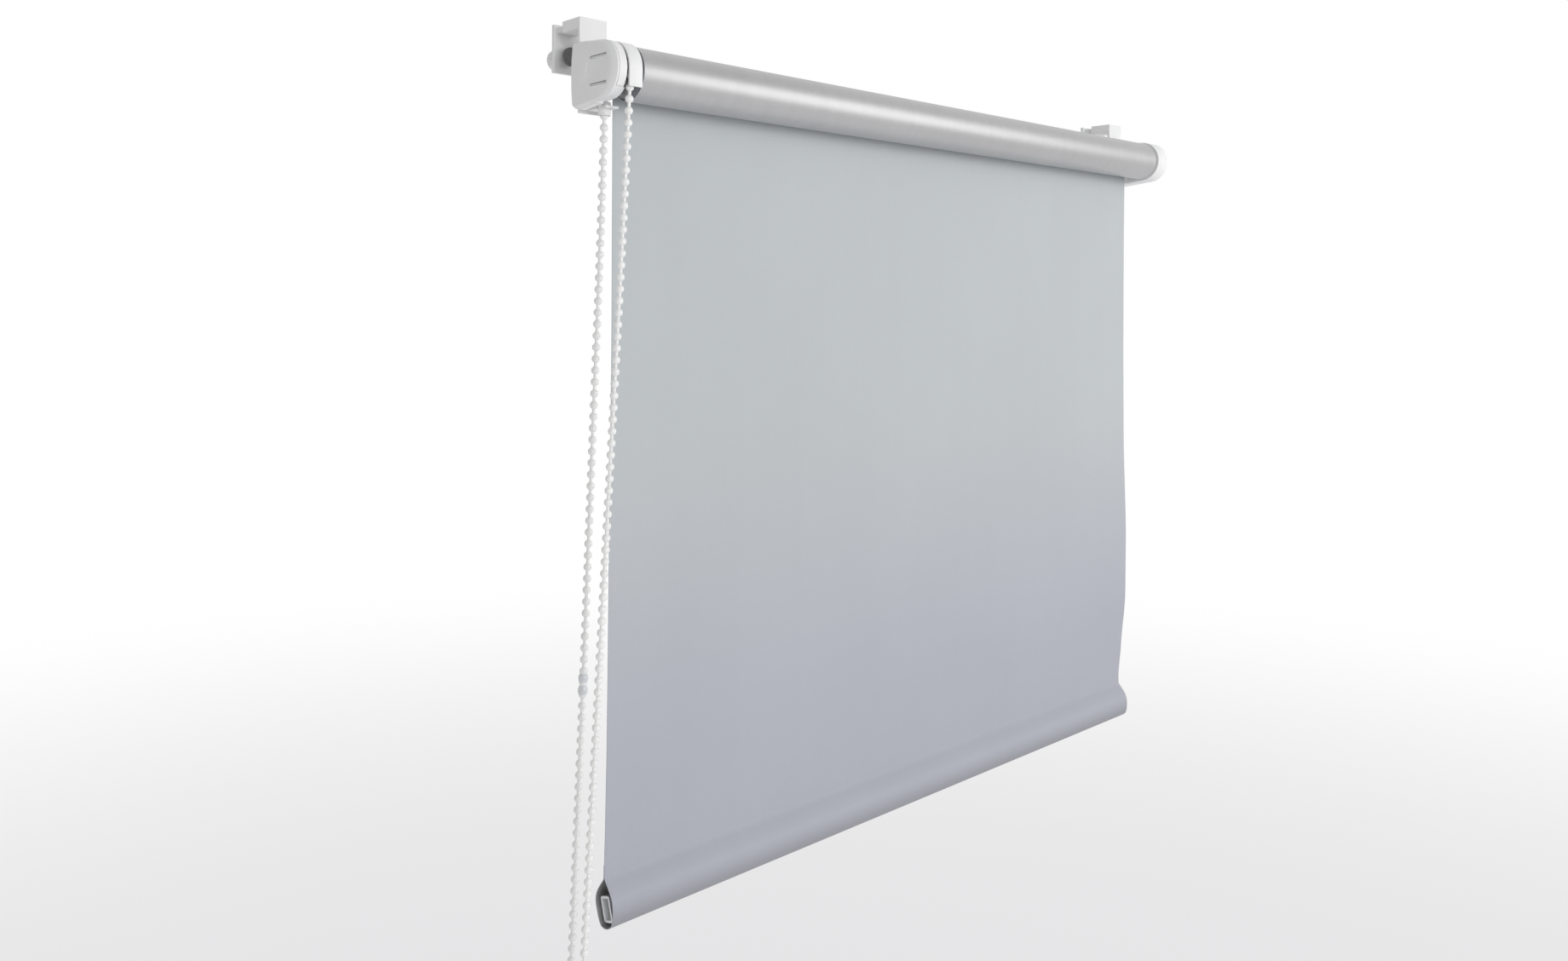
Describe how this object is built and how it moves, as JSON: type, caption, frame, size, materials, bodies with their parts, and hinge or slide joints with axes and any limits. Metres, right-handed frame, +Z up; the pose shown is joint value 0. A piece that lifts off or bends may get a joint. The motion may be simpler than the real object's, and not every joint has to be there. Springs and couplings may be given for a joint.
{
  "type": "roller blind",
  "caption": "Clamp-on roller blind for an open sash: bead-chain clutch, silver-backed fabric roll, hanging fabric with a hem bar, sprung idle end and two sash clamps.",
  "frame": {"origin": "middle of the front top edge of the window sash that the two clamps hold", "axes": "+X along the roller to the right seen from the room, +Y into the window, +Z up"},
  "size_m": [0.5441, 0.0784, 0.5593],
  "materials": {
    "white_plastic": "moulded, fine satin texture",
    "grey_plastic": "moulded, satin",
    "clear_plastic": "translucent moulding",
    "steel": "zinc plated",
    "aluminium": "mill finish",
    "blind_fabric": "plain woven, pale blue grey",
    "foil_fabric": "silver coated back of the fabric",
    "bead_white": "moulded beads",
    "foam": "soft pad",
    "adhesive_tape": "double-sided tape"
  },
  "bodies": {
    "root": {"control_cover": "white_plastic", "chain_guard": "white_plastic", "control_housing": "white_plastic", "clutch_core": "grey_plastic", "core_screw": "steel", "core_clip": "steel", "idle_bracket": "white_plastic", "idle_cover": "white_plastic", "left_clamp_carrier": "white_plastic", "left_front_pad": "foam", "left_bracket_screw": "steel", "right_clamp_carrier": "white_plastic", "right_front_pad": "foam", "right_bracket_screw": "steel", "chain_over_sprocket": "bead_white", "chain_loop": "bead_white", "chain_connector": "clear_plastic", "chain_rear_strand": "bead_white", "holder_body": "white_plastic", "holder_pad": "foam", "holder_axle": "steel"},
    "roller": {"roller_tube": "aluminium", "adhesive_strip": "adhesive_tape", "wound_fabric": "foil_fabric", "drive_hub": "grey_plastic", "idle_plug": "grey_plastic", "idle_spring": "steel"},
    "sprocket": {"chain_sprocket": "grey_plastic", "clutch_spring_outer": "steel", "clutch_spring_inner": "steel"},
    "hem": {"hanging_fabric": "blind_fabric", "hem_pocket": "blind_fabric", "hem_bar": "aluminium"},
    "idle_pin": {"idle_pin": "steel"},
    "holder_wheel": {"holder_wheel": "grey_plastic"},
    "left_hook": {"left_clamp_hook": "white_plastic"},
    "left_foot": {"left_rear_foot": "foam"},
    "left_screw": {"left_clamp_screw": "white_plastic"},
    "right_hook": {"right_clamp_hook": "white_plastic"},
    "right_foot": {"right_rear_foot": "foam"},
    "right_screw": {"right_clamp_screw": "white_plastic"}
  },
  "joints": [
    {"name": "roll_spin", "type": "hinge", "parent": "root", "child": "roller", "pos_m": [0, -0.0281, -0.0263], "axis": [1, 0, 0], "range_deg": [-3960, 1500]},
    {"name": "hem_travel", "type": "slide", "parent": "root", "child": "hem", "axis": [0, 0, 1], "range_m": [-0.982, 0.3722], "deforming": ["hanging_fabric"]},
    {"name": "sprocket_turn", "type": "hinge", "parent": "root", "child": "sprocket", "pos_m": [-0.2558, -0.0281, -0.0263], "axis": [1, 0, 0], "range_deg": [-3961, 1501]},
    {"name": "holder_wheel_turn", "type": "hinge", "parent": "root", "child": "holder_wheel", "pos_m": [-0.2695, -0.0151, -0.5313], "axis": [0.9703, -0.2419, 0], "range_deg": [-5282, 2002]},
    {"name": "idle_pin_slide", "type": "slide", "parent": "roller", "child": "idle_pin", "axis": [1, 0, 0], "range_m": [-0.0068, 0], "stiffness_N_per_m": 150, "springref_m": 0.003, "deforming": ["idle_spring"]},
    {"name": "left_hook_slide", "type": "slide", "parent": "root", "child": "left_hook", "axis": [0, 1, 0], "range_m": [-0.005, 0.005]},
    {"name": "left_foot_press", "type": "slide", "parent": "left_hook", "child": "left_foot", "axis": [0, -1, 0], "range_m": [-0.0018, 0.0045]},
    {"name": "left_screw_turn", "type": "hinge", "parent": "left_foot", "child": "left_screw", "pos_m": [-0.2535, 0.018, -0.011], "axis": [0, -1, 0], "range_deg": [-650, 1622]},
    {"name": "right_hook_slide", "type": "slide", "parent": "root", "child": "right_hook", "axis": [0, 1, 0], "range_m": [-0.005, 0.005]},
    {"name": "right_foot_press", "type": "slide", "parent": "right_hook", "child": "right_foot", "axis": [0, -1, 0], "range_m": [-0.0018, 0.0045]},
    {"name": "right_screw_turn", "type": "hinge", "parent": "right_foot", "child": "right_screw", "pos_m": [0.2535, 0.018, -0.011], "axis": [0, -1, 0], "range_deg": [-650, 1622]}
  ],
  "couplings": [
    {"joint": "hem_travel", "follows": "roll_spin", "m_per_rad": 0.0142},
    {"joint": "sprocket_turn", "follows": "roll_spin", "ratio": 1},
    {"joint": "holder_wheel_turn", "follows": "roll_spin", "ratio": 1.3333},
    {"joint": "left_screw_turn", "follows": "left_foot_press", "rad_per_m": 6283.2},
    {"joint": "right_screw_turn", "follows": "right_foot_press", "rad_per_m": 6283.2}
  ]
}
